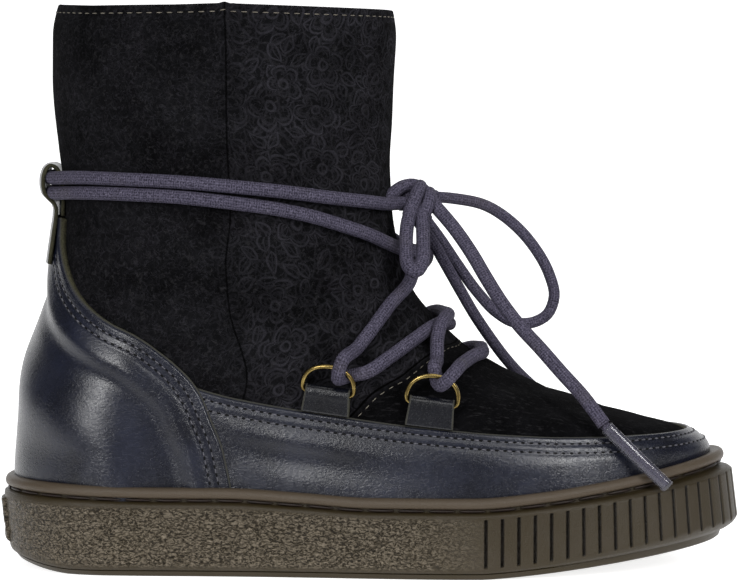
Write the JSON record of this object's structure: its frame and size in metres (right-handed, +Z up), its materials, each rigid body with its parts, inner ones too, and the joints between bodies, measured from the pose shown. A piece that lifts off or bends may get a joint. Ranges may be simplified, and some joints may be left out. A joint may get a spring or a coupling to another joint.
{
  "type": "lace-up boot",
  "caption": "Ankle boot for the right foot: hollow suede upper on a rubber cupsole, leather heel counter and foxing, D-ring lacing tied in a bow",
  "frame": {"origin": "centre of the sole's box, on the ground", "axes": "+X to the toe, +Y to the inner side of the foot, +Z up through the collar"},
  "size_m": [0.2058, 0.0808, 0.156],
  "materials": {
    "sole_rubber": "matte brown moulded rubber, pebbled side, ribbed toe",
    "insole_felt": "dark felt",
    "suede": "black suede with a faint embossed floral",
    "navy_leather": "smooth waxed leather, near black with a blue cast, raw olive edges",
    "brass": "bright bent wire",
    "waxed_cord": "round braided cord, grey violet, lightly waxed",
    "clear_film": "clear film rolled round the cord"
  },
  "bodies": {
    "root": {"cupsole": "sole_rubber", "insole": "insole_felt", "upper": "suede", "foxing": "navy_leather", "heel_counter": "navy_leather", "heel_pull_loop": "navy_leather", "ring_tab_1": "navy_leather", "ring_tab_2": "navy_leather", "ring_tab_3": "navy_leather", "ring_tab_4": "navy_leather", "d_ring_1": "brass", "d_ring_2": "brass", "d_ring_3": "brass", "d_ring_4": "brass", "lace_lacing": "waxed_cord", "lace_knot": "waxed_cord", "lace_loop_lateral": "waxed_cord", "lace_loop_medial": "waxed_cord", "lace_end_lateral": "waxed_cord", "lace_end_medial": "waxed_cord", "aglet_lateral": "clear_film", "aglet_medial": "clear_film"}
  },
  "joints": []
}
